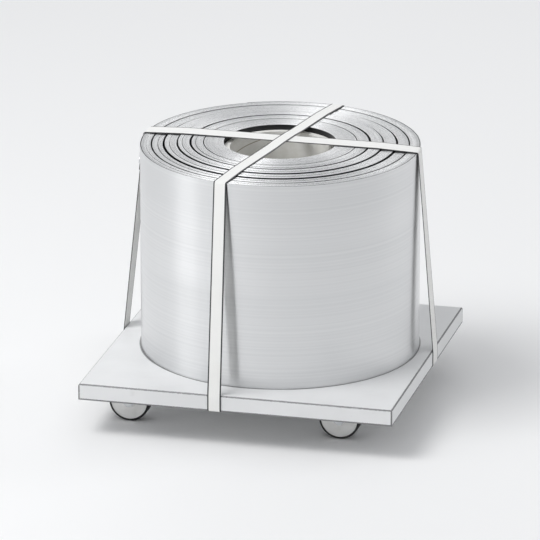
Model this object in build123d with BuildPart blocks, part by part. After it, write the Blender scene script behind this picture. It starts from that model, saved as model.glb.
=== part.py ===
from build123d import *
from math import cos, radians, sin, sqrt
import os

os.makedirs("parts", exist_ok=True)

# Aluminium gutter coil, wound eye to sky and strapped to a low steel dolly.
# Millimetres. The origin is on the floor under the middle of the deck, Z is up,
# front is -Y and left is -X.

# Coil: the strip's width is its height as it stands
strip_width = 381
coil_diameter = 508
bore_diameter = 203
coil_shift_x = 8
coil_shift_y = 17

# The turns lie in packs that slid a little past one another as the strip was wound. The
# packs' edges are shares of the way from the bore to the rim.
telescoping = 3
pack_gap = 3.2
pack_gap_depth = 8
pack_edge_shares = (0.853, 0.702, 0.544, 0.38, 0.232)
pack_shift_shares = (0, 0, 0.5, 1, 1, 1)

# Core: the plain tube that the strip is wound on, ending short of the coil's open end
core_wall = 10
core_recess = 10
core_clearance = 0.3

# Deck: one sheet, folded down on four sides and welded at the corners
deck_margin = 34.5
deck_sheet = 3
deck_drop = 30
deck_fold_radius = 4

# Casters: swivel forks on top plates
caster_inset_x = 93.5
caster_inset_y = 103.5
caster_lead = 24
wheel_diameter = 75
wheel_headroom = 5.4
tread_width = 30
tread_thickness = 4
tread_shoulder = 2.5
rim_width = 28
hub_diameter = 20
hub_taper = 2
side_clearance = 0.3
axle_diameter = 8
axle_clearance = 0.2
fork_gap = 33
fork_sheet = 2.5
fork_bend_radius = 3
fork_tip_radius = 10
fork_length = 40
crown_diameter = 50
swivel_clearance = 0.3
race_diameter = 46
race_neck_diameter = 38
race_depth = 4
kingpin_diameter = 10
kingpin_head_diameter = 18
kingpin_head_height = 3
plate_length = 92
plate_width = 64
plate_thickness = 2.5
plate_corner_radius = 7
hex_across_flats = 13
hex_height = 5
nut_height = 7
thread_end = 2

# Straps: flat webbing drawn tight round the coil and the deck
strap_thickness = 1.2
strap_clearance = 0.1
front_strap_width = 25
front_strap_skew = 10.8
front_strap_foot = -37
back_strap_foot = 53
cross_strap_width = 38
cross_strap_shift = 18
right_strap_foot = 55
left_strap_foot = 42
crossing_ramp = 28
crossing_margin = 3

# Crimp seals
overlap_length = 60
seal_drop = 42
seal_length = 34
seal_sheet = 0.9
seal_clearance = 0.3
seal_mouth = 9
crimp_radius = 3
crimp_depth = 1.6
crimp_pitch = 14

# Places worked out from the sizes. The casters stack up from the floor: wheel, kingpin head,
# fork, race and plate.
coil_radius = coil_diameter / 2
bore_radius = bore_diameter / 2
wheel_radius = wheel_diameter / 2
kingpin_head_foot = wheel_diameter + wheel_headroom
kingpin_head_top = kingpin_head_foot + kingpin_head_height
crown_foot = kingpin_head_top + swivel_clearance
crown_top = crown_foot + fork_sheet
race_foot = crown_top + swivel_clearance
race_top = race_foot + race_depth
caster_height = race_top + plate_thickness
deck_top = caster_height + deck_sheet
deck_foot = deck_top - deck_drop
deck_side = coil_diameter + 2 * deck_margin
deck_half = deck_side / 2
coil_axis = Vector(coil_shift_x, coil_shift_y, deck_top)
up = Vector(0, 0, 1)

pack_edge_radii = [bore_radius + share * (coil_radius - bore_radius) for share in pack_edge_shares]
pack_outer_radii = [coil_radius] + [radius - pack_gap / 2 for radius in pack_edge_radii]
pack_inner_radii = [radius + pack_gap / 2 for radius in pack_edge_radii] + [bore_radius]
pack_shifts = [share * telescoping for share in pack_shift_shares]


def open_outline():
    # The open end of the coil from its rim in to its bore, with a V groove at each gap
    points = []
    for i, shift in enumerate(pack_shifts):
        level = strip_width + shift
        points += [(pack_outer_radii[i], level), (pack_inner_radii[i], level)]
        if i + 1 < len(pack_shifts):
            points.append((pack_edge_radii[i], level - pack_gap_depth))
    return points


def standing_outline():
    # The end that stands on the deck: the same packs, stepped where two of them differ
    points = [(coil_radius, pack_shifts[0])]
    for shift, next_shift, edge in zip(pack_shifts, pack_shifts[1:], pack_edge_radii):
        if shift != next_shift:
            points += [(edge, shift), (edge, next_shift)]
    points.append((bore_radius, pack_shifts[-1]))
    return points


# The coil: a turned solid with its bore and with the gaps of its turns on both ends
with BuildPart() as coil:
    with BuildSketch(Plane(coil_axis, x_dir=(1, 0, 0), z_dir=(0, -1, 0))):
        with BuildLine():
            Polyline(*open_outline(), *reversed(standing_outline()), close=True)
        make_face()
    revolve(axis=Axis(coil_axis, up))
coil.part.label = "coil"
export_step(coil.part, "parts/coil.step")


# The core: it stands on the deck inside the bore
with BuildPart() as core:
    with BuildSketch(Plane.XY.offset(deck_top)):
        with Locations((coil_shift_x, coil_shift_y)):
            core_radius = bore_radius - core_clearance
            Circle(core_radius)
            Circle(core_radius - core_wall, mode=Mode.SUBTRACT)
    extrude(amount=strip_width + telescoping - core_recess)
core.part.label = "core"
export_step(core.part, "parts/core.step")


# The deck: a shallow tray, open below
with BuildPart() as deck:
    with BuildSketch(Plane.XY.offset(deck_foot)):
        Rectangle(deck_side, deck_side)
    extrude(amount=deck_drop)
    fillet(deck.faces().sort_by(Axis.Z)[-1].edges(), deck_fold_radius)
    offset(amount=-deck_sheet, openings=deck.faces().sort_by(Axis.Z)[0])
deck.part.label = "deck"
export_step(deck.part, "parts/deck.step")


# Casters
rim_radius = wheel_radius - tread_thickness
hub_width = fork_gap - 2 * side_clearance
fork_width = fork_gap + 2 * fork_sheet


def caster_plate():
    # Top plate, welded under the deck, with its ball race and the kingpin that the fork turns on
    with BuildPart() as plate:
        with BuildSketch(Plane.XY.offset(caster_height)):
            RectangleRounded(plate_length, plate_width, plate_corner_radius)
        extrude(amount=-plate_thickness)
        with BuildSketch(Plane.XZ):
            with BuildLine():
                Polyline(
                    (0, race_top),
                    (race_neck_diameter / 2, race_top),
                    (race_diameter / 2, race_foot),
                    (kingpin_diameter / 2, race_foot),
                    (kingpin_diameter / 2, kingpin_head_top),
                    (kingpin_head_diameter / 2, kingpin_head_top),
                    (kingpin_diameter / 2, kingpin_head_foot),
                    (0, kingpin_head_foot),
                    close=True,
                )
            make_face()
        revolve(axis=Axis.Z)
    return plate.part


def caster_fork():
    # Pressed fork: a folded channel trimmed to a raked leg on each side of the wheel
    with BuildPart() as fork:
        with BuildSketch(Plane.YZ):
            with BuildLine():
                side, foot = fork_width / 2, wheel_radius - fork_tip_radius
                inner, roof = fork_gap / 2, crown_foot
                FilletPolyline(
                    (side, foot), (side, crown_top), (-side, crown_top), (-side, foot),
                    radius=fork_bend_radius + fork_sheet,
                )
                Line((-side, foot), (-inner, foot))
                FilletPolyline(
                    (-inner, foot), (-inner, roof), (inner, roof), (inner, foot),
                    radius=fork_bend_radius,
                )
                Line((inner, foot), (side, foot))
            make_face()
        extrude(amount=crown_diameter, both=True)
        with BuildSketch(Plane.XZ):
            with Locations((-caster_lead, wheel_radius)):
                Circle(fork_tip_radius)
            with Locations((0, crown_top)):
                Rectangle(fork_length, fork_sheet, align=(Align.CENTER, Align.MAX))
            make_hull()
        extrude(amount=fork_width, both=True, mode=Mode.INTERSECT)
        with BuildSketch(Plane.XY.offset(crown_foot)):
            Circle(crown_diameter / 2)
        extrude(amount=fork_sheet)
        with BuildSketch(Plane.XY.offset(crown_foot)):
            Circle(kingpin_diameter / 2 + swivel_clearance)
        extrude(amount=fork_sheet, mode=Mode.SUBTRACT)
        with BuildSketch(Plane.XZ):
            with Locations((-caster_lead, wheel_radius)):
                Circle(axle_diameter / 2 + axle_clearance)
        extrude(amount=fork_width, both=True, mode=Mode.SUBTRACT)
    return fork.part


def caster_axle():
    # Bolt through both legs; its head bears on the front leg and its thread ends behind the nut.
    head_face = Plane.XZ.offset(fork_width / 2)
    with BuildPart() as axle:
        with BuildSketch(head_face):
            with Locations((-caster_lead, wheel_radius)):
                RegularPolygon(hex_across_flats / 2, 6, major_radius=False)
        extrude(amount=hex_height)
        with BuildSketch(head_face):
            with Locations((-caster_lead, wheel_radius)):
                Circle(axle_diameter / 2)
        extrude(amount=-(fork_width + nut_height + thread_end))
    return axle.part


def caster_nut():
    with BuildPart() as nut:
        with BuildSketch(Plane.XZ.offset(-fork_width / 2)):
            with Locations((-caster_lead, wheel_radius)):
                RegularPolygon(hex_across_flats / 2, 6, major_radius=False)
                Circle(axle_diameter / 2, mode=Mode.SUBTRACT)
        extrude(amount=-nut_height)
    return nut.part


def wheel_axis():
    return Axis((-caster_lead, 0, wheel_radius), (0, 1, 0))


def wheel_body():
    # Solid moulded wheel with a hub boss on each side
    with BuildPart() as wheel:
        with BuildSketch(Plane((-caster_lead, 0, wheel_radius), x_dir=(0, 0, 1), z_dir=(1, 0, 0))):
            with BuildLine():
                bore = axle_diameter / 2 + axle_clearance
                half_side = [
                    (bore, hub_width / 2),
                    (hub_diameter / 2, hub_width / 2),
                    (hub_diameter / 2 + hub_taper, rim_width / 2),
                    (rim_radius, rim_width / 2),
                ]
                Polyline(*half_side, *[(radius, -side) for radius, side in reversed(half_side)], close=True)
            make_face()
        revolve(axis=wheel_axis())
    return wheel.part


def wheel_tread():
    # Rubber tyre with rounded shoulders
    with BuildPart() as tread:
        with BuildSketch(Plane((-caster_lead, 0, wheel_radius), x_dir=(0, 0, 1), z_dir=(1, 0, 0))):
            with Locations((rim_radius, 0)):
                Rectangle(tread_thickness, tread_width, align=(Align.MIN, Align.CENTER))
            chamfer(vertices().group_by(Axis.X)[-1], tread_shoulder)
        revolve(axis=wheel_axis())
    return tread.part


caster_pieces = {
    "plate": caster_plate(),
    "fork": caster_fork(),
    "axle": caster_axle(),
    "nut": caster_nut(),
    "wheel": wheel_body(),
    "tread": wheel_tread(),
}
caster_x = deck_half - caster_inset_x
caster_y = deck_half - caster_inset_y
caster_corners = {
    "front_left": (-caster_x, -caster_y),
    "front_right": (caster_x, -caster_y),
    "back_left": (-caster_x, caster_y),
    "back_right": (caster_x, caster_y),
}
for corner, (x, y) in caster_corners.items():
    for piece, shape in caster_pieces.items():
        with BuildPart() as caster_piece:
            with Locations((x, y, 0)):
                add(shape)
        caster_piece.part.label = f"caster_{corner}_{piece}"
        export_step(caster_piece.part, f"parts/caster_{corner}_{piece}.step")


# Straps
proud_radius = max(
    radius for radius, shift in zip(pack_outer_radii, pack_shifts) if shift == max(pack_shifts)
)
coil_top = deck_top + strip_width
proud_top = coil_top + max(pack_shifts)
skew = radians(front_strap_skew)
crossing_half = (cross_strap_width + front_strap_width * sin(skew)) / (2 * cos(skew)) + crossing_margin


def lay_band(route, width):
    # Webbing laid through the stations of a route: each is a point of its inner face with
    # the direction across it, and the folds between two straight runs are mitred.
    last = len(route) - 1
    sections = []
    for i, (point, across) in enumerate(route):
        ahead = route[min(i, last - 1) + 1][0] - route[min(i, last - 1)][0]
        behind = route[max(i, 1)][0] - route[max(i, 1) - 1][0]
        out_ahead = across.cross(ahead).normalized()
        out_behind = across.cross(behind).normalized()
        out = (out_ahead + out_behind).normalized()
        mitre = strap_thickness / out.dot(out_ahead)
        with BuildSketch(Plane(point, x_dir=-across, z_dir=out.cross(across))) as section:
            Rectangle(width, mitre, align=(Align.CENTER, Align.MIN))
        sections.append(section.sketch)
    with BuildPart() as band:
        for section_pair in zip(sections, sections[1:]):
            loft(sections=section_pair, ruled=True)
    return band.part


def run_point(run, distance, lift, turn_distance=None):
    # A station on a free run. The webbing turns evenly from one end of the run to the other, or
    # it is turned here as it is at another distance.
    (top, top_across), (foot, foot_across) = run
    share = distance / (foot - top).length
    turn_share = share if turn_distance is None else turn_distance / (foot - top).length
    across = (top_across * (1 - turn_share) + foot_across * turn_share).normalized()
    out = across.cross(foot - top).normalized()
    return top + (foot - top) * share + out * lift, across


def strap_route(heading, shift, width, feet, edge_across, hump_above, hump_below):
    # Once round the load: down the closing run, under the deck, up, over the coil and down
    # again over the webbing's own start. hump_above and hump_below are plan points where
    # this strap crosses the outside of the other one, or None.
    across = heading.cross(up)
    line_foot = Vector(coil_axis.X, coil_axis.Y, 0) - across * shift
    edge_offset = max(0, abs(shift) - width / 2)

    def rim_station(sign):
        reach = sqrt(coil_radius**2 - shift**2)
        point = line_foot + heading * (sign * reach)
        radial = (point - Vector(coil_axis.X, coil_axis.Y, 0)).normalized() * sign
        return point + up * coil_top, radial.cross(up)

    def level_station(distance, level):
        return line_foot + heading * distance + up * level, across

    def hump(along, level, lift):
        return [
            (along - crossing_half - crossing_ramp, level),
            (along - crossing_half, level + lift),
            (along + crossing_half, level + lift),
            (along + crossing_half + crossing_ramp, level),
        ]

    first_foot, last_foot = feet
    edge_top = deck_top - deck_fold_radius
    proud_reach = sqrt(proud_radius**2 - edge_offset**2)
    lift = strap_thickness + strap_clearance

    over = [rim_station(-1), level_station(-proud_reach, proud_top)]
    if hump_above:
        along = (hump_above - line_foot).dot(heading)
        over += [level_station(*step) for step in hump(along, proud_top, lift)]
    over += [level_station(proud_reach, proud_top), rim_station(1)]

    closing_run = (rim_station(1), (last_foot + up * edge_top, edge_across))

    def overlap(level):
        # The stretch where the two ends lie one on the other, flat where the seal grips them
        seal_ends = (seal_drop - seal_length / 2, seal_drop + seal_length / 2)
        return [
            run_point(closing_run, seal_drop - overlap_length / 2, level),
            *[run_point(closing_run, distance, level, seal_drop) for distance in seal_ends],
            run_point(closing_run, seal_drop + overlap_length / 2, level),
        ]

    under = [(last_foot + up * edge_top, edge_across), (last_foot + up * deck_foot, edge_across)]
    if hump_below:
        way = (first_foot - last_foot).normalized()
        along = (hump_below - last_foot).dot(way)
        for distance, level in hump(along, deck_foot, -lift):
            under.append((last_foot + way * distance + up * level, edge_across))
    else:
        under.append(((last_foot + first_foot) / 2 + up * deck_foot, edge_across))
    under += [(first_foot + up * deck_foot, edge_across), (first_foot + up * edge_top, edge_across)]

    seal_place = run_point(closing_run, seal_drop, 0)
    seal_way = (closing_run[1][0] - closing_run[0][0]).normalized()
    return overlap(0) + under + over + overlap(lift), (seal_place, seal_way)


def crimp_seal(seal_place, width):
    # Pressed clip round both layers of webbing, its lips turned in on the outside
    (point, across), way = seal_place
    inner_width = width + 2 * seal_clearance
    inner_height = 2 * strap_thickness + strap_clearance + 2 * seal_clearance
    with BuildPart() as seal:
        with BuildSketch(Plane(point, x_dir=across, z_dir=across.cross(across.cross(way)))):
            with Locations((0, inner_height / 2 - seal_clearance)):
                Rectangle(inner_width + 2 * seal_sheet, inner_height + 2 * seal_sheet)
                Rectangle(inner_width, inner_height, mode=Mode.SUBTRACT)
            with Locations((0, inner_height - seal_clearance + seal_sheet / 2)):
                Rectangle(seal_mouth, 2 * seal_sheet, mode=Mode.SUBTRACT)
        extrude(amount=seal_length / 2, both=True)
        crimp_reach = inner_width / 2 + seal_sheet - crimp_depth + crimp_radius
        with BuildSketch(Plane(point, x_dir=across, z_dir=across.cross(way))):
            with GridLocations(2 * crimp_reach, crimp_pitch, 2, 2):
                RegularPolygon(crimp_radius, 4)
        extrude(amount=2 * inner_height, both=True, mode=Mode.SUBTRACT)
    return seal.part


front_heading = Vector(sin(skew), cos(skew), 0)
left_heading = Vector(-1, 0, 0)
strap_reach = deck_half + strap_clearance
front_feet = (Vector(front_strap_foot, -strap_reach, 0), Vector(back_strap_foot, strap_reach, 0))
cross_feet = (Vector(strap_reach, right_strap_foot, 0), Vector(-strap_reach, left_strap_foot, 0))

# Where the straps cross, above the coil and below the deck
crossing_above = coil_axis + front_heading * (cross_strap_shift / front_heading.Y)
under_way = front_feet[1] - front_feet[0]
cross_middle_y = (right_strap_foot + left_strap_foot) / 2
crossing_below = front_feet[0] + under_way * ((cross_middle_y + strap_reach) / under_way.Y)

straps = {
    "strap_left_right": (left_heading, -cross_strap_shift, cross_strap_width, cross_feet,
                         Vector(0, 1, 0), None, None),
    "strap_front_back": (front_heading, 0, front_strap_width, front_feet,
                         Vector(1, 0, 0), crossing_above, crossing_below),
}
for strap_name, (heading, shift, width, feet, edge_across, above, below) in straps.items():
    route, seal_place = strap_route(heading, shift, width, feet, edge_across, above, below)
    band = lay_band(route, width)
    band.label = strap_name
    export_step(band, f"parts/{strap_name}.step")
    seal = crimp_seal(seal_place, width)
    seal.label = strap_name.replace("strap", "seal")
    export_step(seal, f"parts/{seal.label}.step")
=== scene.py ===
import math

import bmesh
import bpy
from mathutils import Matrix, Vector


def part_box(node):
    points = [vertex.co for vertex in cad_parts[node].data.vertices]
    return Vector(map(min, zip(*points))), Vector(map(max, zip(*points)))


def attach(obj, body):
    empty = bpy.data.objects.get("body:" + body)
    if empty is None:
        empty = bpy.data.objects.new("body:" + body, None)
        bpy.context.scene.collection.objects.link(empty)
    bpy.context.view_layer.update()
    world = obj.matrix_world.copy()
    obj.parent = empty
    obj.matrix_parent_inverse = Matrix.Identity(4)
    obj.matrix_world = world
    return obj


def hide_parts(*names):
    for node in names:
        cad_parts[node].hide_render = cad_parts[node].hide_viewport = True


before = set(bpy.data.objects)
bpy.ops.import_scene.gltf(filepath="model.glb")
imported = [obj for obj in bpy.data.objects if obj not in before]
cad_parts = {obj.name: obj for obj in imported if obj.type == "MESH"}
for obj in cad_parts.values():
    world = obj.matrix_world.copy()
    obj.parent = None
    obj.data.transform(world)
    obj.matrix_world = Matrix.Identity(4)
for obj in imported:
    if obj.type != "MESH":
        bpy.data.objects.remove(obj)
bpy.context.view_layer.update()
mm = 0.001
up = Vector((0, 0, 1))

# Places that the frame gives, which everything is fitted to
deckLow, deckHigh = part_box("deck")
coilLow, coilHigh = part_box("coil")
coreLow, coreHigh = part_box("core")
deckTop = deckHigh.z
deckFoot = deckLow.z
deckHalf = deckHigh.x
coilAxis = (coilLow + coilHigh) / 2
coilRadius = (coilHigh.x - coilLow.x) / 2
coreRadius = (coreHigh.x - coreLow.x) / 2
axisOnFloor = Vector((coilAxis.x, coilAxis.y, 0))
print("frame loaded, coil radius", round(coilRadius, 4), "deck top", round(deckTop, 4))


# Small helpers for placing things
def addObject(name, data):
    made = bpy.data.objects.new(name, data)
    bpy.context.scene.collection.objects.link(made)
    return made


def wayTo(azimuth, elevation):
    # The direction out to an azimuth, counted from the front, and an elevation, both in degrees
    side = math.radians(azimuth)
    rise = math.radians(elevation)
    return Vector((math.sin(side) * math.cos(rise), -math.cos(side) * math.cos(rise), math.sin(rise)))


def aimAt(thing, target, way, distance):
    # Stands a camera or a lamp out from its target, looking back at it
    thing.location = target + way * distance
    thing.rotation_mode = "QUATERNION"
    thing.rotation_quaternion = (-way).to_track_quat("-Z", "Y")


# Camera, at the drawing's own angle: a long lens from the right, looking down
cameraView = {
    "azimuth": 14.11,
    "elevation": 18.83,
    "distance": 11.761,
    "target": Vector((-0.00994, 0.01249, 0.2348)),
    "lens": 431.5,
    "sensor": 36,
    "clipEnd": 100,
}


def addCamera():
    data = bpy.data.cameras.new("camera")
    data.lens = cameraView["lens"]
    data.sensor_width = cameraView["sensor"]
    data.clip_end = cameraView["clipEnd"]
    camera = addObject("camera", data)
    way = wayTo(cameraView["azimuth"], cameraView["elevation"])
    aimAt(camera, cameraView["target"], way, cameraView["distance"])
    bpy.context.scene.camera = camera


addCamera()
print("camera set")


# Node helpers, for Geometry Nodes and shader trees alike
floatSocket = "NodeSocketFloat"
wholeSocket = "NodeSocketInt"
vectorSocket = "NodeSocketVector"
materialSocket = "NodeSocketMaterial"
meshSocket = "NodeSocketGeometry"


def wire(tree, value, socket):
    if isinstance(value, bpy.types.NodeSocket):
        tree.links.new(value, socket)
    else:
        socket.default_value = value


def addNode(tree, kind, inputs=None, **settings):
    node = tree.nodes.new(kind)
    for name, value in settings.items():
        setattr(node, name, value)
    for name, value in (inputs or {}).items():
        wire(tree, value, node.inputs[name])
    return node


def calc(tree, operation, *values, kind="ShaderNodeMath"):
    node = addNode(tree, kind, operation=operation)
    for value, socket in zip(values, node.inputs):
        wire(tree, value, socket)
    return node.outputs


def plus(tree, first, second):
    return calc(tree, "ADD", first, second)[0]


def minus(tree, first, second):
    return calc(tree, "SUBTRACT", first, second)[0]


def times(tree, first, second):
    return calc(tree, "MULTIPLY", first, second)[0]


def over(tree, first, second):
    return calc(tree, "DIVIDE", first, second)[0]


def least(tree, first, second):
    return calc(tree, "MINIMUM", first, second)[0]


def most(tree, first, second):
    return calc(tree, "MAXIMUM", first, second)[0]


def isOver(tree, first, second):
    return calc(tree, "GREATER_THAN", first, second)[0]


def sizeOf(tree, value):
    return calc(tree, "ABSOLUTE", value)[0]


def sine(tree, angle):
    return calc(tree, "SINE", angle)[0]


def cosine(tree, angle):
    return calc(tree, "COSINE", angle)[0]


def joinXyz(tree, x=0.0, y=0.0, z=0.0):
    return addNode(tree, "ShaderNodeCombineXYZ", {"X": x, "Y": y, "Z": z}).outputs[0]


def splitXyz(tree, vector):
    return addNode(tree, "ShaderNodeSeparateXYZ", {"Vector": vector}).outputs


def smoothRange(tree, value, low, high, start=0.0, end=1.0):
    node = addNode(tree, "ShaderNodeMapRange", interpolation_type="SMOOTHSTEP")
    for socket, given in zip(node.inputs, (value, low, high, start, end)):
        wire(tree, given, socket)
    return node.outputs[0]


def cloudNoise(tree, place, scale, detail, roughness=0.5, distortion=0.0):
    return addNode(tree, "ShaderNodeTexNoise", {
        "Vector": place, "Scale": scale, "Detail": detail, "Roughness": roughness,
        "Distortion": distortion}).outputs[0]


def lineNoise(tree, value, scale, detail, roughness=0.5):
    # Noise that varies with one value only
    return addNode(tree, "ShaderNodeTexNoise", {
        "W": value, "Scale": scale, "Detail": detail, "Roughness": roughness},
        noise_dimensions="1D").outputs[0]


def startTree(name, kind, inputs, outputs):
    # A node group with named sockets: an input is its name, its type and, where it has one, its default
    tree = bpy.data.node_groups.new(name, kind)
    for label, socketType, *default in inputs:
        socket = tree.interface.new_socket(name=label, in_out="INPUT", socket_type=socketType)
        if default:
            socket.default_value = default[0]
    for label, socketType in outputs:
        tree.interface.new_socket(name=label, in_out="OUTPUT", socket_type=socketType)
    return tree, tree.nodes.new("NodeGroupInput").outputs, tree.nodes.new("NodeGroupOutput").inputs


def storeFloat(tree, geometry, name, value, domain):
    return addNode(tree, "GeometryNodeStoreNamedAttribute", {
        "Geometry": geometry, "Name": name, "Value": value}, data_type="FLOAT", domain=domain).outputs[0]


def endTree(tree, geometry, material, result, smooth=False):
    # Every tree ends in real geometry with its material on
    real = addNode(tree, "GeometryNodeRealizeInstances", {"Geometry": geometry}).outputs[0]
    if smooth:
        real = addNode(tree, "GeometryNodeSetShadeSmooth", {"Geometry": real}).outputs[0]
    dressed = addNode(tree, "GeometryNodeSetMaterial", {"Geometry": real, "Material": material})
    wire(tree, dressed.outputs[0], result["Mesh"])


def growMesh(name, tree, values):
    # Runs a Geometry Nodes tree once and keeps what it makes as a plain mesh
    seedObject = addObject(name + "Tree", bpy.data.meshes.new(name + "Tree"))
    modifier = seedObject.modifiers.new("build", "NODES")
    modifier.node_group = tree
    identifiers = {item.name: item.identifier for item in tree.interface.items_tree if item.in_out == "INPUT"}
    for label, value in values.items():
        modifier[identifiers[label]] = value
    shown = bpy.context.evaluated_depsgraph_get()
    mesh = bpy.data.meshes.new_from_object(seedObject.evaluated_get(shown), depsgraph=shown)
    seedObject.modifiers.remove(modifier)
    bpy.data.objects.remove(seedObject)
    mesh.name = name
    return addObject(name, mesh)


# Effects that the finishes are made with
rollingLines = {
    "fineDetail": 2.0,
    "fineShare": 0.4,
    "broadCount": 0.06,  # how many broad lines there are to one fine line
    "broadShare": 0.6,
}


def buildStreakLines():
    # Lines drawn out along x and packed close along y: fine ones, and broad ones that come and go
    tree, given, result = startTree(
        "streakLines", "ShaderNodeTree",
        [("Vector", vectorSocket), ("Along", floatSocket), ("Across", floatSocket)],
        [("Tone", floatSocket), ("Height", floatSocket)],
    )
    place = splitXyz(tree, given["Vector"])
    x = times(tree, place["X"], given["Along"])
    y = times(tree, place["Y"], given["Across"])
    broadPlace = joinXyz(tree, x, times(tree, y, rollingLines["broadCount"]), place["Z"])
    fine = lineNoise(tree, y, 1.0, rollingLines["fineDetail"])
    broad = cloudNoise(tree, broadPlace, 1.0, 0.0)
    mixed = plus(tree, times(tree, fine, rollingLines["fineShare"]),
                 times(tree, broad, rollingLines["broadShare"]))
    wire(tree, mixed, result["Tone"])
    wire(tree, broad, result["Height"])
    return tree


mottling = {"cloudDetail": 4.0, "cloudRoughness": 0.55, "grainDetail": 1.0}


def buildMottle():
    # Cloudy variation with a finer grain in it
    tree, given, result = startTree(
        "mottle", "ShaderNodeTree",
        [("Vector", vectorSocket), ("Scale", floatSocket), ("Grain", floatSocket)],
        [("Tone", floatSocket), ("Height", floatSocket)],
    )
    cloud = cloudNoise(tree, given["Vector"], given["Scale"], mottling["cloudDetail"],
                       mottling["cloudRoughness"])
    grain = cloudNoise(tree, given["Vector"], given["Grain"], mottling["grainDetail"])
    wire(tree, cloud, result["Tone"])
    wire(tree, grain, result["Height"])
    return tree


scuffing = {
    "tilt": (0.2, 0.1),
    # The two ways that the scratches run: the turn, and how thin they are drawn
    "strokes": ((0.5, 34.0), (-0.9, 26.0)),
    "strokeDetail": 2.0,
    "waver": 0.3,
    "cutoff": (0.66, 0.72),
    "patchScale": 0.8,
    "patchDetail": 3.0,
    "patchCutoff": (0.45, 0.65),
}


def buildScuffs():
    # Sparse hairline scratches at two angles, broken up by a cloud
    tree, given, result = startTree(
        "scuffs", "ShaderNodeTree",
        [("Vector", vectorSocket), ("Scale", floatSocket), ("Amount", floatSocket)],
        [("Mask", floatSocket)],
    )
    strokes = []
    for turn, stretch in scuffing["strokes"]:
        turned = addNode(tree, "ShaderNodeMapping", {
            "Vector": given["Vector"], "Rotation": (*scuffing["tilt"], turn), "Scale": (1.0, stretch, 1.0)})
        lines = cloudNoise(tree, turned.outputs[0], given["Scale"], scuffing["strokeDetail"],
                           distortion=scuffing["waver"])
        strokes.append(smoothRange(tree, lines, *scuffing["cutoff"]))
    patchSize = times(tree, given["Scale"], scuffing["patchScale"])
    cloud = cloudNoise(tree, given["Vector"], patchSize, scuffing["patchDetail"])
    patch = smoothRange(tree, cloud, *scuffing["patchCutoff"])
    broken = times(tree, most(tree, *strokes), patch)
    wire(tree, times(tree, broken, given["Amount"]), result["Mask"])
    return tree


weaving = {
    "cord": 1.3 * mm,
    "pick": 1.7 * mm,
    "cordStep": 0.5,  # every other cord is half a pick on
    # Powers: the lower, the flatter the thread's top
    "cordRound": 0.6,
    "pickRound": 0.5,
    "pickFloor": 0.55,
    "pickRise": 0.45,
    "shadeRange": (0.1, 0.75),
}


def buildWeave():
    # Webbing: warp cords side by side across x, with the weft showing as a low step between them
    tree, given, result = startTree(
        "weave", "ShaderNodeTree",
        [("Vector", vectorSocket), ("Cord", floatSocket, weaving["cord"]),
         ("Pick", floatSocket, weaving["pick"])],
        [("Height", floatSocket), ("Shade", floatSocket)],
    )
    place = splitXyz(tree, given["Vector"])
    cordTurn = over(tree, place["X"], given["Cord"])
    cord = sizeOf(tree, sine(tree, times(tree, cordTurn, math.pi)))
    step = times(tree, calc(tree, "FLOOR", cordTurn)[0], weaving["cordStep"])
    pickTurn = plus(tree, over(tree, place["Y"], given["Pick"]), step)
    pick = sizeOf(tree, sine(tree, times(tree, pickTurn, math.pi)))
    cordRise = calc(tree, "POWER", cord, weaving["cordRound"])[0]
    pickRise = times(tree, calc(tree, "POWER", pick, weaving["pickRound"])[0], weaving["pickRise"])
    height = times(tree, cordRise, plus(tree, weaving["pickFloor"], pickRise))
    wire(tree, height, result["Height"])
    # The Shade output is painted shade: the height turned into a colour that is darker where the weave lies
    # low
    wire(tree, smoothRange(tree, height, *weaving["shadeRange"]), result["Shade"])
    return tree


effects = {
    "streakLines": buildStreakLines(),
    "mottle": buildMottle(),
    "scuffs": buildScuffs(),
    "weave": buildWeave(),
}
print("effects built:", ", ".join(effects))


def useEffect(tree, name, **inputs):
    node = tree.nodes.new("ShaderNodeGroup")
    node.node_tree = effects[name]
    for label, value in inputs.items():
        wire(tree, value, node.inputs[label])
    return node.outputs


def startMaterial(name, color, roughness, metallic=0.0, **constants):
    # Constants are named by the shader's own sockets, with spaces left out
    material = bpy.data.materials.new(name)
    material.use_nodes = True
    material.diffuse_color = (*color, 1)
    shader = material.node_tree.nodes["Principled BSDF"]
    sockets = {socket.name.replace(" ", ""): socket for socket in shader.inputs}
    sockets["BaseColor"].default_value = (*color, 1)
    sockets["Roughness"].default_value = roughness
    sockets["Metallic"].default_value = metallic
    for label, value in constants.items():
        sockets[label].default_value = value
    return material, material.node_tree, shader.inputs


def objectPlace(tree, centre=(0.0, 0.0, 0.0)):
    place = addNode(tree, "ShaderNodeTexCoord").outputs["Object"]
    back = [-value for value in centre]
    return addNode(tree, "ShaderNodeMapping", {"Vector": place, "Location": back}).outputs[0]


def readAttribute(tree, name):
    return addNode(tree, "ShaderNodeAttribute", attribute_name=name).outputs["Fac"]


def blendColor(tree, factor, first, second):
    node = addNode(tree, "ShaderNodeMix", data_type="RGBA")
    wire(tree, factor, node.inputs[0])
    for value, socket in zip((first, second), (node.inputs[6], node.inputs[7])):
        wire(tree, value if isinstance(value, bpy.types.NodeSocket) else (*value, 1), socket)
    return node.outputs[2]


def blendValue(tree, factor, first, second):
    node = addNode(tree, "ShaderNodeMix", data_type="FLOAT")
    for value, socket in zip((factor, first, second), (node.inputs[0], node.inputs[2], node.inputs[3])):
        wire(tree, value, socket)
    return node.outputs[0]


def addBump(tree, shader, height, strength, distance):
    bump = addNode(tree, "ShaderNodeBump", {"Height": height, "Strength": strength, "Distance": distance})
    tree.links.new(bump.outputs[0], shader["Normal"])


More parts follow.
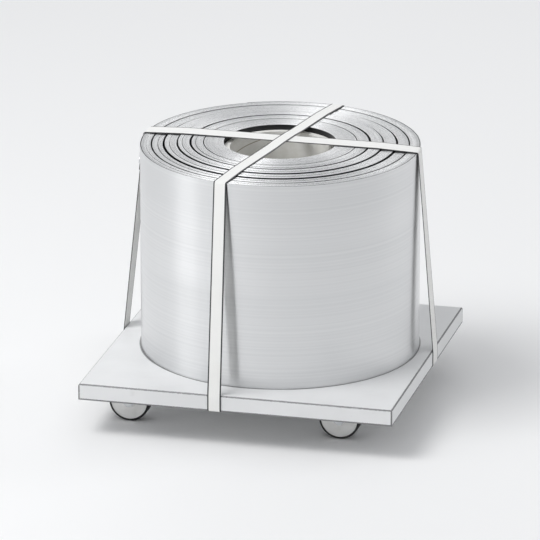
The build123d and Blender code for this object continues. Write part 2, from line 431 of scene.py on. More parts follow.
# The coil: one strip wound from the bore out, turn upon turn
coilStrip = {
    "boreRadius": coreRadius + 0.3 * mm,
    "thickness": 0.7 * mm,
    "pitch": 0.82 * mm,
    "width": 380.5 * mm,
    "stepsPerTurn": 112,
    "tailAzimuth": 118.0,
    # How far the turns' edges wander up and down, and how fast from turn to turn
    "uneven": 0.35 * mm,
    "unevenScale": 0.35,
    "unevenDetail": 3.0,
    "unevenRoughness": 0.8,
    "seed": 7,
    # Gaps that go all round: the share of the rim's radius, the width, how many turns each takes
    # to open and the azimuth at which it opens
    "ringGaps": (
        (0.539, 1.8 * mm, 0.10, 60.0),
        (0.628, 4.0 * mm, 0.06, 100.0),
        (0.726, 2.9 * mm, 0.06, 75.0),
        (0.821, 4.0 * mm, 0.06, 95.0),
        (0.9116, 2.7 * mm, 0.06, 80.0),
        (0.988, 1.3 * mm, 0.20, 110.0),
    ),
    # Gaps that open on one side only: the share of the rim's radius, the width, and the azimuth
    # and half angle of the stretch. The slack of the turns outside takes each up again.
    "sideGaps": (
        (0.600, 1.4 * mm, -118.0, 88.0),
        (0.695, 1.5 * mm, -112.0, 96.0),
        (0.785, 1.5 * mm, -104.0, 92.0),
        (0.869, 1.5 * mm, -110.0, 98.0),
        (0.9545, 1.2 * mm, -100.0, 94.0),
    ),
    "slackTurns": 13.0,
    # Where the packs stand proud: the share of the rim's radius that each step is at, and its drop
    "packSteps": ((0.726, 1.5 * mm), (0.821, 1.5 * mm)),
    "stepEase": 0.05,
    "packRise": 3 * mm,
    "outsideTurns": 1.03,  # the stretch at the end of the strip that is the coil's outside
    "sharpAngle": 35,
}


def planCoil():
    # The number of turns that fill the room between bore and rim, and the turn each gap is at
    gapTotal = sum(gap for _, gap, _, _ in coilStrip["ringGaps"])
    room = coilRadius - coilStrip["boreRadius"] - gapTotal - coilStrip["thickness"]
    turns = room / coilStrip["pitch"]
    startAngle = math.radians(coilStrip["tailAzimuth"]) - math.tau * turns

    def turnAt(share, azimuth):
        opened = sum(gap for ringShare, gap, _, _ in coilStrip["ringGaps"] if ringShare < share)
        turn = (share * coilRadius - coilStrip["boreRadius"] - opened) / coilStrip["pitch"]
        wanted = (math.radians(azimuth) - startAngle) / math.tau
        return wanted + round(turn - wanted)

    rings = [(turnAt(share, azimuth), gap, ease) for share, gap, ease, azimuth in coilStrip["ringGaps"]]
    # A side gap's turn starts on the far side of the coil, where the gap is shut
    sides = [(turnAt(share, azimuth + 180), gap, math.radians(azimuth), math.radians(half))
             for share, gap, azimuth, half in coilStrip["sideGaps"]]
    ringTurns = {gap[0]: ring[0] for gap, ring in zip(coilStrip["ringGaps"], rings)}
    steps = [(ringTurns[share], drop) for share, drop in coilStrip["packSteps"]]
    return turns, startAngle, rings, sides, steps


def turnRadius(tree, given, turn, angle, rings, sides):
    # How far out the strip lies: its pitch, the gaps all round and the gaps on one side
    firstRadius = plus(tree, given["Bore Radius"], times(tree, given["Strip Thickness"], 0.5))
    radius = plus(tree, firstRadius, times(tree, given["Turn Pitch"], turn))
    for opensAt, gap, ease in rings:
        radius = plus(tree, radius, smoothRange(tree, turn, opensAt, opensAt + ease, 0.0, gap))
    for opensAt, gap, middle, half in sides:
        facing = cosine(tree, minus(tree, angle, middle))
        bulge = smoothRange(tree, facing, math.cos(half), 1.0, 0.0, gap)
        begun = isOver(tree, turn, opensAt)
        taken = over(tree, minus(tree, turn, opensAt), coilStrip["slackTurns"])
        left = addNode(tree, "ShaderNodeClamp", {"Value": minus(tree, 1.0, taken)}).outputs[0]
        radius = plus(tree, radius, times(tree, times(tree, bulge, begun), left))
    return radius


def turnHeight(tree, given, turn, steps):
    # How high the strip's middle lies: the packs' steps and a small wander from turn to turn
    height = plus(tree, given["Rise"], times(tree, given["Strip Width"], 0.5))
    for opensAt, drop in steps:
        dropped = smoothRange(tree, turn, opensAt, opensAt + coilStrip["stepEase"], 0.0, drop)
        height = minus(tree, height, dropped)
    wander = lineNoise(tree, plus(tree, turn, given["Seed"]), coilStrip["unevenScale"],
                       coilStrip["unevenDetail"], coilStrip["unevenRoughness"])
    return plus(tree, height, times(tree, wander, given["Uneven"]))


def markFaces(tree, given, strip):
    # Tells the finish which faces are cut edges and which look out from the coil's outside
    normal = addNode(tree, "GeometryNodeInputNormal").outputs[0]
    edgeMark = sizeOf(tree, splitXyz(tree, normal)["Z"])
    marked = storeFloat(tree, strip, "cutEdge", edgeMark, "FACE")
    position = addNode(tree, "GeometryNodeInputPosition").outputs[0]
    fromAxis = calc(tree, "SUBTRACT", position, given["Axis"], kind="ShaderNodeVectorMath")[0]
    looksOut = calc(tree, "DOT_PRODUCT", fromAxis, normal, kind="ShaderNodeVectorMath")["Value"]
    turn = addNode(tree, "GeometryNodeInputNamedAttribute", {"Name": "turn"}, data_type="FLOAT").outputs[0]
    lastTurn = isOver(tree, turn, minus(tree, given["Turns"], coilStrip["outsideTurns"]))
    outside = times(tree, lastTurn, isOver(tree, looksOut, 0.0))
    return storeFloat(tree, marked, "outermost", outside, "FACE")


def buildWindingTree(startAngle, rings, sides, steps):
    tree, given, result = startTree(
        "windStrip", "GeometryNodeTree",
        [("Turns", floatSocket), ("Steps Per Turn", wholeSocket), ("Bore Radius", floatSocket),
         ("Strip Thickness", floatSocket), ("Turn Pitch", floatSocket), ("Strip Width", floatSocket),
         ("Uneven", floatSocket), ("Rise", floatSocket), ("Seed", wholeSocket), ("Axis", vectorSocket),
         ("Material", materialSocket)],
        [("Mesh", meshSocket)],
    )
    wholeSteps = calc(tree, "FLOOR", times(tree, given["Turns"], given["Steps Per Turn"]))[0]
    count = plus(tree, wholeSteps, 1.0)
    line = addNode(tree, "GeometryNodeMeshLine", {"Count": count, "Offset": (0.0, 0.0, 0.0)}, mode="OFFSET")
    index = addNode(tree, "GeometryNodeInputIndex").outputs[0]
    turn = times(tree, over(tree, index, minus(tree, count, 1.0)), given["Turns"])
    angle = plus(tree, times(tree, turn, math.tau), startAngle)
    radius = turnRadius(tree, given, turn, angle, rings, sides)
    height = turnHeight(tree, given, turn, steps)
    x = times(tree, radius, cosine(tree, angle))
    y = times(tree, radius, sine(tree, angle))
    place = joinXyz(tree, x, y, height)
    centred = calc(tree, "ADD", place, given["Axis"], kind="ShaderNodeVectorMath")[0]
    placed = addNode(tree, "GeometryNodeSetPosition", {"Geometry": line.outputs[0], "Position": centred})
    counted = storeFloat(tree, placed.outputs[0], "turn", turn, "POINT")
    curve = addNode(tree, "GeometryNodeMeshToCurve", {"Mesh": counted})
    upright = addNode(tree, "GeometryNodeSetCurveNormal", {"Curve": curve.outputs[0]}, mode="Z_UP")
    section = addNode(tree, "GeometryNodeCurvePrimitiveQuadrilateral", {
        "Width": given["Strip Thickness"], "Height": given["Strip Width"]}, mode="RECTANGLE")
    strip = addNode(tree, "GeometryNodeCurveToMesh", {
        "Curve": upright.outputs[0], "Profile Curve": section.outputs[0], "Fill Caps": True})
    endTree(tree, markFaces(tree, given, strip.outputs[0]), given["Material"], result)
    return tree


millFinish = {
    "color": (0.86, 0.865, 0.87),
    "roughness": 0.3,
    "anisotropy": 0.8,
    "grainTurn": 0.25,
    # The rolled face: how its lines are spaced, and the small circle that the angle goes in as
    "linesAlong": 1.0,
    "linesAcross": 210.0,
    "ringRadius": 0.35,
    "toneRange": (0.3, 0.7),
    "rolledColors": ((0.715, 0.722, 0.728), (0.785, 0.79, 0.795)),
    "rolledRoughness": (0.28, 0.33),
    "bumpStrength": 0.15,
    "bumpDepth": 2.0 * mm,
    # The cut edges: the scale, detail and share of the tone that changes with each turn, and of
    # the one that changes with each pack
    "turnTone": (0.73, 2.0, 0.6),
    "packTone": (0.09, 1.0, 0.4),
    "cutRange": (0.35, 0.62),
    "cutColors": ((0.80, 0.805, 0.81), (0.95, 0.952, 0.955)),
    "cutRoughness": (0.62, 0.5),
    # Painted shade: the near-black colour of the strip's faces inside the coil, so the gaps between the turns
    # and the bore's wall read dark
    "oilFilm": (0.045, 0.046, 0.048),
}


def millAluminium():
    # Rolled strip: satin, with fine lines along its length, and cut edges that differ turn by turn
    look = millFinish
    material, tree, shader = startMaterial(
        "millAluminium", look["color"], look["roughness"], metallic=1.0,
        Anisotropic=look["anisotropy"], AnisotropicRotation=look["grainTurn"])
    place = splitXyz(tree, objectPlace(tree, axisOnFloor))
    angle = calc(tree, "ARCTAN2", place["Y"], place["X"])[0]
    # The angle goes in as a small circle, so the rolling lines run on round the coil and meet
    ring = joinXyz(tree, times(tree, sine(tree, angle), look["ringRadius"]), place["Z"],
                   times(tree, cosine(tree, angle), look["ringRadius"]))
    rolled = useEffect(tree, "streakLines", Vector=ring, Along=look["linesAlong"], Across=look["linesAcross"])
    rolledTone = smoothRange(tree, rolled["Tone"], *look["toneRange"])
    rolledColor = blendColor(tree, rolledTone, *look["rolledColors"])
    rolledRough = smoothRange(tree, rolled["Height"], *look["toneRange"], *look["rolledRoughness"])

    turn = readAttribute(tree, "turn")
    turnScale, turnDetail, turnShare = look["turnTone"]
    packScale, packDetail, packShare = look["packTone"]
    turnTone = lineNoise(tree, calc(tree, "FLOOR", turn)[0], turnScale, turnDetail)
    packTone = lineNoise(tree, turn, packScale, packDetail)
    cutTone = plus(tree, times(tree, turnTone, turnShare), times(tree, packTone, packShare))
    cutColor = blendColor(tree, smoothRange(tree, cutTone, *look["cutRange"]), *look["cutColors"])
    cutRough = smoothRange(tree, cutTone, *look["toneRange"], *look["cutRoughness"])

    cutEdge = readAttribute(tree, "cutEdge")
    # Painted shade: every side face but the coil's outside takes the near-black gap colour
    faceColorWithGapShade = blendColor(tree, readAttribute(tree, "outermost"), look["oilFilm"], rolledColor)
    wire(tree, blendColor(tree, cutEdge, faceColorWithGapShade, cutColor), shader["Base Color"])
    wire(tree, blendValue(tree, cutEdge, rolledRough, cutRough), shader["Roughness"])
    addBump(tree, shader, rolled["Height"], look["bumpStrength"], look["bumpDepth"])
    return material


def windCoil():
    turns, startAngle, rings, sides, steps = planCoil()
    tree = buildWindingTree(startAngle, rings, sides, steps)
    coil = growMesh("windings", tree, {
        "Turns": turns, "Steps Per Turn": coilStrip["stepsPerTurn"], "Bore Radius": coilStrip["boreRadius"],
        "Strip Thickness": coilStrip["thickness"], "Turn Pitch": coilStrip["pitch"],
        "Strip Width": coilStrip["width"], "Uneven": coilStrip["uneven"], "Rise": coilStrip["packRise"],
        "Seed": coilStrip["seed"], "Axis": (coilAxis.x, coilAxis.y, deckTop), "Material": millAluminium()})
    coil.data.set_sharp_from_angle(angle=math.radians(coilStrip["sharpAngle"]))
    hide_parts("coil")
    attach(coil, "dolly")
    print("coil wound:", round(turns, 1), "turns,", len(coil.data.polygons), "faces")


windCoil()


# The straps. The stations are those of the load itself: rim, deck edge, under the deck and back.
webbing = {
    "thickness": 1.2 * mm,
    "clearance": 0.1 * mm,
    "coilTop": deckTop + 381 * mm,
    "proudTop": coilHigh.z,
    "proudRadius": 182.85 * mm,
    "deckFoldRadius": 4 * mm,
    "crossingRamp": 28 * mm,
    "crossingMargin": 3 * mm,
    "overlapLength": 60 * mm,
    "sealDrop": 42 * mm,
    "sealLength": 34 * mm,
    # The mesh: how close its stations stand, how its folds are eased and its section
    "stationStep": 3.5 * mm,
    "foldRadius": 3.0 * mm,
    "foldLeast": 0.4,
    "foldShare": 0.45,
    "foldSteps": 4,
    "columns": 14,
    "columnSpread": 0.75,
    "edgeThinning": 0.35,
    "thinningPower": 8,
    "sharpAngle": 55,
}
frontStrap = {"width": 25 * mm, "skew": 10.8, "frontFoot": -37 * mm, "backFoot": 53 * mm}
crossStrap = {"width": 38 * mm, "shift": 18 * mm, "rightFoot": 55 * mm, "leftFoot": 42 * mm}


def runPoint(run, distance, lift, turnDistance):
    # A station on a free run, where the webbing turns evenly from one end to the other
    (top, topAcross), (foot, footAcross) = run
    length = (foot - top).length
    turnShare = turnDistance / length
    across = (topAcross * (1 - turnShare) + footAcross * turnShare).normalized()
    out = across.cross(foot - top).normalized()
    return top + (foot - top) * (distance / length) + out * lift, across


def overlapRoute(run, level):
    # The stretch where the webbing lies on itself, held flat for the length of the seal
    middle = webbing["sealDrop"]
    half = webbing["overlapLength"] / 2
    grip = webbing["sealLength"] / 2
    seat = [runPoint(run, middle + side * grip, level, middle) for side in (-1, 1)]
    first, last = [runPoint(run, middle + side * half, level, middle + side * half) for side in (-1, 1)]
    return [first, *seat, last]


def hump(along, level, rise):
    # Over the other strap and down again, as distances along the way and levels
    skew = math.radians(frontStrap["skew"])
    half = (crossStrap["width"] + frontStrap["width"] * math.sin(skew)) / (2 * math.cos(skew))
    half += webbing["crossingMargin"]
    ramp = webbing["crossingRamp"]
    return [(along - half - ramp, level), (along - half, level + rise),
            (along + half, level + rise), (along + half + ramp, level)]


def strapRoute(heading, shift, width, feet, edgeAcross, humpAbove, humpBelow):
    # Each station is a point on the webbing's inner face and the way across it
    across = heading.cross(up)
    lineFoot = axisOnFloor - across * shift
    edgeOffset = max(0, abs(shift) - width / 2)
    lift = webbing["thickness"] + webbing["clearance"]
    proudReach = math.sqrt(webbing["proudRadius"] ** 2 - edgeOffset ** 2)
    rimReach = math.sqrt(coilRadius ** 2 - shift ** 2)
    proudTop = webbing["proudTop"]
    edgeTop = deckTop - webbing["deckFoldRadius"]
    firstFoot, lastFoot = feet

    def rimStation(sign):
        point = lineFoot + heading * (sign * rimReach)
        radial = (point - axisOnFloor).normalized() * sign
        return point + up * webbing["coilTop"], radial.cross(up)

    def levelStation(distance, level):
        return lineFoot + heading * distance + up * level, across

    top = [rimStation(-1), levelStation(-proudReach, proudTop)]
    if humpAbove:
        along = (humpAbove - lineFoot).dot(heading)
        top += [levelStation(*step) for step in hump(along, proudTop, lift)]
    top += [levelStation(proudReach, proudTop), rimStation(1)]

    under = [(lastFoot + up * edgeTop, edgeAcross), (lastFoot + up * deckFoot, edgeAcross)]
    if humpBelow:
        way = (firstFoot - lastFoot).normalized()
        along = (humpBelow - lastFoot).dot(way)
        for distance, level in hump(along, deckFoot, -lift):
            under.append((lastFoot + way * distance + up * level, edgeAcross))
    under += [(firstFoot + up * deckFoot, edgeAcross), (firstFoot + up * edgeTop, edgeAcross)]

    closingRun = (rimStation(1), (lastFoot + up * edgeTop, edgeAcross))
    return overlapRoute(closingRun, 0) + under + top + overlapRoute(closingRun, lift)


def roundedStations(route):
    # Points every few millimetres along the route, each fold eased into a small curve
    steps = webbing["foldSteps"]
    points = [route[0]]
    for (before, _), (corner, across), (after, _) in zip(route, route[1:], route[2:]):
        back = before - corner
        ahead = after - corner
        turn = math.pi - back.angle(ahead, math.pi)
        reach = webbing["foldRadius"] * max(math.tan(turn / 2), webbing["foldLeast"])
        cut = min(reach, webbing["foldShare"] * back.length, webbing["foldShare"] * ahead.length)
        first = corner + back.normalized() * cut
        last = corner + ahead.normalized() * cut
        for i in range(steps + 1):
            t = i / steps
            points.append((first * (1 - t) ** 2 + corner * 2 * t * (1 - t) + last * t ** 2, across))
    points.append(route[-1])
    stations = [points[0]]
    for (start, startAcross), (end, endAcross) in zip(points, points[1:]):
        pieces = max(1, math.ceil((end - start).length / webbing["stationStep"]))
        for i in range(1, pieces + 1):
            t = i / pieces
            stations.append((start.lerp(end, t), startAcross.lerp(endAcross, t).normalized()))
    return stations


whiteThread = {
    "color": (0.86, 0.85, 0.81),
    "roughness": 0.8,
    "sheen": 0.25,
    "sheenRoughness": 0.5,
    "colors": ((0.76, 0.755, 0.73), (0.93, 0.928, 0.91)),
    "soilScale": 9.0,
    "soilGrain": 1600.0,
    "soilRange": (0.5, 0.8, 0.0, 0.25),
    "soilColor": (0.76, 0.745, 0.70),
    # The dark tracer thread along each edge: where it fades out, and its colour
    "tracerRange": (2.3 * mm, 2.6 * mm, 1.0, 0.0),
    "tracerColor": (0.035, 0.036, 0.04),
    "roughRange": (0.3, 0.8, 0.72, 0.88),
    "bumpStrength": 0.6,
    "bumpDepth": 0.25 * mm,
}


def webbingMaterial():
    # White woven polyester with a dark tracer thread along each edge
    look = whiteThread
    material, tree, shader = startMaterial(
        "whiteWebbing", look["color"], look["roughness"],
        SheenWeight=look["sheen"], SheenRoughness=look["sheenRoughness"])
    place = addNode(tree, "ShaderNodeUVMap", uv_map="webbing").outputs[0]
    weave = useEffect(tree, "weave", Vector=place)
    soil = useEffect(tree, "mottle", Vector=place, Scale=look["soilScale"], Grain=look["soilGrain"])
    # Painted shade: the thread's colour darkens where the weave lies low between the cords
    thread = blendColor(tree, weave["Shade"], *look["colors"])
    soiled = blendColor(tree, smoothRange(tree, soil["Tone"], *look["soilRange"]), thread, look["soilColor"])
    tracer = smoothRange(tree, readAttribute(tree, "fromEdge"), *look["tracerRange"])
    wire(tree, blendColor(tree, tracer, soiled, look["tracerColor"]), shader["Base Color"])
    wire(tree, smoothRange(tree, soil["Tone"], *look["roughRange"]), shader["Roughness"])
    addBump(tree, shader, weave["Height"], look["bumpStrength"], look["bumpDepth"])
    return material


def layWebbing(name, route, width, material):
    stations = roundedStations(route)
    thickness = webbing["thickness"]
    columns = webbing["columns"]
    mesh = bmesh.new()
    uvLayer = mesh.loops.layers.uv.new("webbing")
    edgeLayer = mesh.verts.layers.float.new("fromEdge")
    rings = []
    travelled = 0.0
    for i, (point, across) in enumerate(stations):
        before = stations[max(i - 1, 0)][0]
        after = stations[min(i + 1, len(stations) - 1)][0]
        travelled += (point - before).length
        out = across.cross(after - before).normalized()
        ring = []
        for side in (0, 1):
            for c in range(columns + 1):
                even = 2 * c / columns - 1
                u = math.copysign(abs(even) ** webbing["columnSpread"], even)
                thin = webbing["edgeThinning"] * abs(u) ** webbing["thinningPower"]
                level = thickness * (thin / 2 if side == 0 else 1 - thin / 2)
                vertex = mesh.verts.new(point + across * (u * width / 2) + out * level)
                vertex[edgeLayer] = width / 2 * (1 - abs(u))
                ring.append((vertex, u * width / 2, travelled))
        rings.append(ring)

    def face(*points):
        made = mesh.faces.new([vertex for vertex, _, _ in points])
        made.smooth = True
        for loop, (_, u, v) in zip(made.loops, points):
            loop[uvLayer].uv = (u, v)

    row = columns + 1
    for lower, upper in zip(rings, rings[1:]):
        for c in range(columns):
            face(lower[c], lower[c + 1], upper[c + 1], upper[c])
            face(lower[row + c], upper[row + c], upper[row + c + 1], lower[row + c + 1])
        face(lower[0], upper[0], upper[row], lower[row])
        face(lower[columns], lower[row + columns], upper[row + columns], upper[columns])
    for ring in (rings[0], rings[-1]):
        for c in range(columns):
            face(ring[c], ring[c + 1], ring[row + c + 1], ring[row + c])
    bmesh.ops.recalc_face_normals(mesh, faces=mesh.faces)
    data = bpy.data.meshes.new(name)
    mesh.to_mesh(data)
    mesh.free()
    data.materials.append(material)
    data.set_sharp_from_angle(angle=math.radians(webbing["sharpAngle"]))
    return addObject(name, data)


def layStraps():
    skew = math.radians(frontStrap["skew"])
    frontHeading = Vector((math.sin(skew), math.cos(skew), 0))
    reach = deckHalf + webbing["clearance"]
    frontFeet = (Vector((frontStrap["frontFoot"], -reach, 0)), Vector((frontStrap["backFoot"], reach, 0)))
    crossFeet = (Vector((reach, crossStrap["rightFoot"], 0)), Vector((-reach, crossStrap["leftFoot"], 0)))
    crossingAbove = axisOnFloor + frontHeading * (crossStrap["shift"] / frontHeading.y)
    underWay = frontFeet[1] - frontFeet[0]
    crossMiddle = (crossStrap["rightFoot"] + crossStrap["leftFoot"]) / 2
    crossingBelow = frontFeet[0] + underWay * ((crossMiddle + reach) / underWay.y)
    material = webbingMaterial()
    routes = {
        "strap_left_right": (Vector((-1, 0, 0)), -crossStrap["shift"], crossStrap["width"], crossFeet,
                             Vector((0, 1, 0)), None, None),
        "strap_front_back": (frontHeading, 0, frontStrap["width"], frontFeet,
                             Vector((1, 0, 0)), crossingAbove, crossingBelow),
    }
    for node, (heading, shift, width, feet, edgeAcross, above, below) in routes.items():
        route = strapRoute(heading, shift, width, feet, edgeAcross, above, below)
        strap = layWebbing(node.replace("strap", "webbing"), route, width, material)
        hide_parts(node)
        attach(strap, "dolly")
        print("strap laid:", node, len(strap.data.polygons), "faces")


layStraps()


# Finishes of the parts that keep their CAD shape
deckPaint = {
    "color": (0.78, 0.785, 0.79),
    "roughness": 0.45,
    "cloudScale": 6.0,
    "grainScale": 1300.0,
    "cloudRange": (0.35, 0.7),
    "colors": ((0.76, 0.765, 0.77), (0.82, 0.825, 0.83)),
    "scuffScale": 26.0,
    "scuffAmount": 0.3,
    "scuffColor": (0.50, 0.505, 0.51),
    # Wear down to dark steel along the edges: how ragged, and where it fades out
    "ragged": 4 * mm,
    "raggedMiddle": 0.55,
    "edgeRange": (2.3 * mm, 3.1 * mm, 0.9, 0.0),
    # Painted contact shade, also a rubbed mark: a dark ring on the deck's top where the coil's lower rim
    # stands
    "rimSpread": 5 * mm,
    "rimMiddle": 0.5,
    "rimRange": (1.2 * mm, 3.4 * mm, 0.8, 0.0),
    "topRange": (1.0 * mm, 2.0 * mm, 1.0, 0.0),
    "wornColor": (0.13, 0.13, 0.135),
    "wornMetal": 0.3,
    "roughRange": (0.3, 0.75, 0.38, 0.52),
    "bumpStrength": 0.12,
    "bumpDepth": 0.15 * mm,
}


def nearEdge(tree, place):
    # How near a point is to the tray's outer edges, above, below and at its corners
    sideX = minus(tree, deckHalf, sizeOf(tree, place["X"]))
    sideY = minus(tree, deckHalf, sizeOf(tree, place["Y"]))
    fromTop = minus(tree, deckTop, place["Z"])
    fromFoot = minus(tree, place["Z"], deckFoot)
    topEdge = most(tree, least(tree, sideX, sideY), fromTop)
    cornerEdge = most(tree, sideX, sideY)
    return least(tree, least(tree, topEdge, cornerEdge), fromFoot), fromTop


def spreadBy(tree, distance, noise, middle, reach):
    # Moves an outline in and out with a noise, so that it isn't drawn with a ruler
    return plus(tree, distance, times(tree, minus(tree, middle, noise), reach))


def powderCoat():
    look = deckPaint
    material, tree, shader = startMaterial("powderCoat", look["color"], look["roughness"])
    place = objectPlace(tree)
    axes = splitXyz(tree, place)
    cloud = useEffect(tree, "mottle", Vector=place, Scale=look["cloudScale"], Grain=look["grainScale"])
    marks = useEffect(tree, "scuffs", Vector=place, Scale=look["scuffScale"], Amount=look["scuffAmount"])
    nearest, fromTop = nearEdge(tree, axes)
    ragged = spreadBy(tree, nearest, cloud["Height"], look["raggedMiddle"], look["ragged"])
    edgeWear = smoothRange(tree, ragged, *look["edgeRange"])

    fromAxis = joinXyz(tree, minus(tree, axes["X"], coilAxis.x), minus(tree, axes["Y"], coilAxis.y))
    radius = calc(tree, "LENGTH", fromAxis, kind="ShaderNodeVectorMath")["Value"]
    fromRim = sizeOf(tree, minus(tree, radius, coilRadius))
    spread = spreadBy(tree, fromRim, cloud["Tone"], look["rimMiddle"], -look["rimSpread"])
    onTop = smoothRange(tree, fromTop, *look["topRange"])
    # Painted contact shade around the coil's foot, together with the rubbed mark, kept to the deck's top
    rimShadeAndRub = times(tree, smoothRange(tree, spread, *look["rimRange"]), onTop)
    wornAndShaded = most(tree, edgeWear, rimShadeAndRub)

    paint = blendColor(tree, smoothRange(tree, cloud["Tone"], *look["cloudRange"]), *look["colors"])
    marked = blendColor(tree, marks["Mask"], paint, look["scuffColor"])
    # The dark colour is edge wear, and painted shade around the coil's foot
    wire(tree, blendColor(tree, wornAndShaded, marked, look["wornColor"]), shader["Base Color"])
    wire(tree, times(tree, wornAndShaded, look["wornMetal"]), shader["Metallic"])
    wire(tree, smoothRange(tree, cloud["Tone"], *look["roughRange"]), shader["Roughness"])
    addBump(tree, shader, cloud["Height"], look["bumpStrength"], look["bumpDepth"])
    return material


tubeBoard = {
    "color": (0.84, 0.83, 0.79),
    "roughness": 0.85,
    "cloudScale": 60.0,
    "grainScale": 1500.0,
    "cloudRange": (0.35, 0.7),
    "colors": ((0.86, 0.85, 0.81), (0.93, 0.925, 0.90)),
    # The seam: how far it climbs in a turn, its half width as shares of that, and its colour
    "climb": 0.11,
    "seamRange": (0.004, 0.012, 1.0, 0.0),
    "seamColor": (0.42, 0.37, 0.30),
    "bumpStrength": 0.25,
    "bumpDepth": 0.2 * mm,
}


def coreBoard():
    # White-lined board, wound in a helix whose seams show on the tube's wall
    look = tubeBoard
    material, tree, shader = startMaterial("coreBoard", look["color"], look["roughness"])
    place = objectPlace(tree, axisOnFloor)
    axes = splitXyz(tree, place)
    turn = over(tree, calc(tree, "ARCTAN2", axes["Y"], axes["X"])[0], math.tau)
    climb = plus(tree, over(tree, axes["Z"], look["climb"]), turn)
    fromSeam = sizeOf(tree, minus(tree, calc(tree, "FRACT", climb)[0], 0.5))
    seam = smoothRange(tree, fromSeam, *look["seamRange"])
    fibre = useEffect(tree, "mottle", Vector=place, Scale=look["cloudScale"], Grain=look["grainScale"])
    board = blendColor(tree, smoothRange(tree, fibre["Tone"], *look["cloudRange"]), *look["colors"])
    wire(tree, blendColor(tree, seam, board, look["seamColor"]), shader["Base Color"])
    addBump(tree, shader, fibre["Height"], look["bumpStrength"], look["bumpDepth"])
    return material


# Plainer finishes: each is a cloudy colour and roughness, with scuffs (their scale, amount and
# colour) and a fine grain (its strength and depth) where it has them
plainFinishes = {
    "zincPlate": {
        "color": (0.66, 0.67, 0.69),
        "roughness": 0.34,
        "metallic": 1.0,
        "cloudScale": 70.0,
        "grainScale": 2600.0,
        "cloudRange": (0.35, 0.68),
        "colors": ((0.52, 0.53, 0.555), (0.74, 0.75, 0.76)),
        "roughRange": (0.3, 0.7, 0.28, 0.46),
        "scuffs": (60.0, 0.6, (0.86, 0.86, 0.86)),
        "bump": (0.1, 0.08 * mm),
    },
    "mouldedWheel": {
        "color": (0.86, 0.86, 0.84),
        "roughness": 0.42,
        "metallic": 0.0,
        "cloudScale": 45.0,
        "grainScale": 2200.0,
        "cloudRange": (0.4, 0.75),
        "colors": ((0.87, 0.87, 0.855), (0.79, 0.785, 0.765)),
        "roughRange": (0.3, 0.7, 0.36, 0.5),
        "scuffs": (40.0, 0.5, (0.55, 0.54, 0.52)),
        "bump": (0.08, 0.08 * mm),
    },
    "rubberTread": {
        "color": (0.022, 0.022, 0.023),
        "roughness": 0.75,
        "metallic": 0.0,
        "cloudScale": 55.0,
        "grainScale": 1800.0,
        "cloudRange": (0.5, 0.72, 0.0, 0.4),
        "colors": ((0.018, 0.018, 0.019), (0.12, 0.115, 0.105)),
        "roughRange": (0.3, 0.7, 0.62, 0.86),
        "scuffs": None,
        "bump": (0.3, 0.15 * mm),
    },
    "weldMetal": {
        "color": (0.42, 0.42, 0.43),
        "roughness": 0.45,
        "metallic": 1.0,
        "cloudScale": 160.0,
        "grainScale": 3000.0,
        "cloudRange": (0.35, 0.65),
        "colors": ((0.30, 0.29, 0.29), (0.55, 0.55, 0.56)),
        "roughRange": (0.3, 0.7, 0.35, 0.55),
        "scuffs": None,
        "bump": None,
    },
}


def plainFinish(name):
    look = plainFinishes[name]
    material, tree, shader = startMaterial(name, look["color"], look["roughness"], look["metallic"])
    place = objectPlace(tree)
    cloud = useEffect(tree, "mottle", Vector=place, Scale=look["cloudScale"], Grain=look["grainScale"])
    color = blendColor(tree, smoothRange(tree, cloud["Tone"], *look["cloudRange"]), *look["colors"])
    if look["scuffs"]:
        scale, amount, scuffColor = look["scuffs"]
        marks = useEffect(tree, "scuffs", Vector=place, Scale=scale, Amount=amount)
        color = blendColor(tree, marks["Mask"], color, scuffColor)
    wire(tree, color, shader["Base Color"])
    wire(tree, smoothRange(tree, cloud["Tone"], *look["roughRange"]), shader["Roughness"])
    if look["bump"]:
        addBump(tree, shader, cloud["Height"], *look["bump"])
    return material


def dressNodes():
    zinc = plainFinish("zincPlate")
    finishes = {"deck": powderCoat(), "core": coreBoard(), "wheel": plainFinish("mouldedWheel"),
                "tread": plainFinish("rubberTread")}
    for kind in ("seal", "plate", "fork", "axle", "nut"):
        finishes[kind] = zinc
    for name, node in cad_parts.items():
        # A caster's pieces end in their kind, and the others start with it
        kind = name.split("_")[-1] if name.startswith("caster") else name.split("_")[0]
        if kind in finishes:
            node.data.materials.clear()
            node.data.materials.append(finishes[kind])
    print("finishes on the CAD parts:", ", ".join(finishes))


dressNodes()


# Welds that hold each caster plate to the deck
plateWelds = {
    "beadRadius": 2.2 * mm,
    "rippleStep": 1.3 * mm,
    "beadLength": 26 * mm,
    "pairSpread": 1.4,  # the two beads on a long side: how far out each lies, in half beads
    "flatness": 0.55,
    "dropSizes": (0.85, 1.1),
    "dropSegments": 10,
    "dropRings": 6,
    "sink": 0.2 * mm,
}


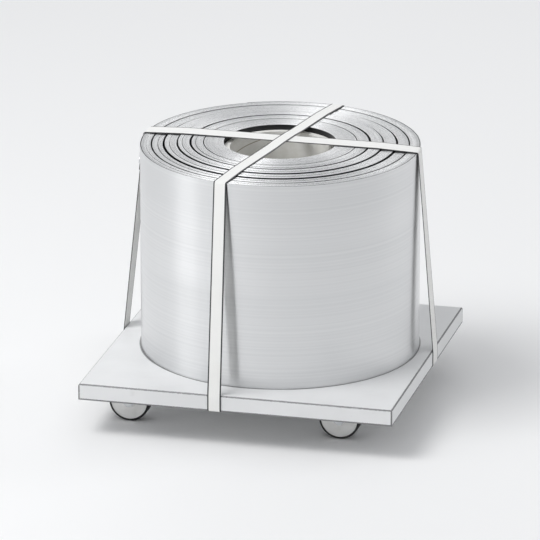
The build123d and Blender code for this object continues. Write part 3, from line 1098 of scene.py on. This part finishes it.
def buildWeldTree():
    # A bead as a row of overlapping flattened drops
    tree, given, result = startTree(
        "weldBead", "GeometryNodeTree",
        [("Start", vectorSocket), ("End", vectorSocket), ("Ripple Step", floatSocket),
         ("Radius", floatSocket), ("Seed", wholeSocket), ("Material", materialSocket)],
        [("Mesh", meshSocket)],
    )
    path = addNode(tree, "GeometryNodeCurvePrimitiveLine", {"Start": given["Start"], "End": given["End"]})
    beads = addNode(tree, "GeometryNodeCurveToPoints", {
        "Curve": path.outputs[0], "Length": given["Ripple Step"]}, mode="LENGTH")
    drop = addNode(tree, "GeometryNodeMeshUVSphere", {
        "Segments": plateWelds["dropSegments"], "Rings": plateWelds["dropRings"], "Radius": given["Radius"]})
    size = addNode(tree, "FunctionNodeRandomValue", {"Seed": given["Seed"]}, data_type="FLOAT")
    for value, socket in zip(plateWelds["dropSizes"], (size.inputs[2], size.inputs[3])):
        socket.default_value = value
    scale = joinXyz(tree, size.outputs[1], size.outputs[1], plateWelds["flatness"])
    rows = addNode(tree, "GeometryNodeInstanceOnPoints", {
        "Points": beads.outputs[0], "Instance": drop.outputs[0], "Scale": scale})
    endTree(tree, rows.outputs[0], given["Material"], result, smooth=True)
    return tree


def beadLines():
    # Two beads along each long side of a plate and one along each short side
    half = plateWelds["beadLength"] / 2
    lines = []
    for corner in ("front_left", "front_right", "back_left", "back_right"):
        low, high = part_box(f"caster_{corner}_plate")
        middle = (low + high) / 2
        for side in (-1, 1):
            y = middle.y + side * (high.y - low.y) / 2
            for x in (middle.x - half * plateWelds["pairSpread"], middle.x + half * plateWelds["pairSpread"]):
                lines.append(((x - half, y, high.z), (x + half, y, high.z)))
            x = middle.x + side * (high.x - low.x) / 2
            lines.append(((x, middle.y - half, high.z), (x, middle.y + half, high.z)))
    return lines


def weldPlates():
    tree = buildWeldTree()
    material = plainFinish("weldMetal")
    joined = bmesh.new()
    for seed, (start, end) in enumerate(beadLines()):
        bead = growMesh(f"weld{seed}", tree, {
            "Start": start, "End": end, "Ripple Step": plateWelds["rippleStep"],
            "Radius": plateWelds["beadRadius"], "Seed": seed, "Material": material})
        joined.from_mesh(bead.data)
        bpy.data.objects.remove(bead)
    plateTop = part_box("caster_front_left_plate")[1].z
    for vertex in joined.verts:
        if vertex.co.z > plateTop:
            vertex.co.z = plateTop + plateWelds["sink"]  # flattened just inside the deck's sheet
    data = bpy.data.meshes.new("casterWelds")
    joined.to_mesh(data)
    joined.free()
    data.materials.append(material)
    welds = addObject("casterWelds", data)
    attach(welds, "dolly")
    print("caster plates welded:", len(data.polygons), "faces")


weldPlates()


# Floor, sky and lights
studio = {
    "floorSize": 60.0,
    "floorColor": (0.93, 0.93, 0.93),
    "floorRoughness": 0.7,
    "skyHigh": (0.84, 0.855, 0.88),
    "skyLow": (1.0, 1.01, 1.02),
    "skyRange": (0.0, 0.7),
    "skyStrength": 0.56,
    "target": Vector((0, 0, 0.25)),
    # Each panel: the azimuth and elevation that it shines from, its distance, width, height and power
    "panels": {
        "key": (-50, 57, 4.8, 2.4, 2.4, 122.0),
        "leftStrip": (-66, 14, 5.5, 2.0, 3.4, 34.0),
        "rightRim": (124, 30, 4.8, 1.2, 2.4, 24.0),
        "backFan": (-172, 32, 4.6, 2.8, 1.8, 18.0),
    },
}


def layFloor():
    half = studio["floorSize"] / 2
    corners = [(-half, -half, 0), (half, -half, 0), (half, half, 0), (-half, half, 0)]
    data = bpy.data.meshes.new("floor")
    data.from_pydata(corners, [], [(0, 1, 2, 3)])
    data.materials.append(startMaterial("studioFloor", studio["floorColor"], studio["floorRoughness"])[0])
    floor = addObject("floor", data)


def hangSky():
    world = bpy.data.worlds.new("studio")
    world.use_nodes = True
    sky = world.node_tree
    background = sky.nodes["Background"].inputs
    gaze = splitXyz(sky, addNode(sky, "ShaderNodeTexCoord").outputs["Generated"])
    climb = smoothRange(sky, gaze["Z"], *studio["skyRange"])
    wire(sky, blendColor(sky, climb, studio["skyLow"], studio["skyHigh"]), background["Color"])
    wire(sky, studio["skyStrength"], background["Strength"])
    bpy.context.scene.world = world
    bpy.context.scene.view_settings.view_transform = "Standard"


def hangPanels():
    for name, (azimuth, elevation, distance, width, height, power) in studio["panels"].items():
        light = bpy.data.lights.new(name, "AREA")
        light.shape = "RECTANGLE"
        light.size = width
        light.size_y = height
        light.energy = power
        lamp = addObject(name, light)
        lamp.visible_camera = False
        aimAt(lamp, studio["target"], wayTo(azimuth, elevation), distance)


layFloor()
hangSky()
hangPanels()
print("studio lit:", ", ".join(studio["panels"]))
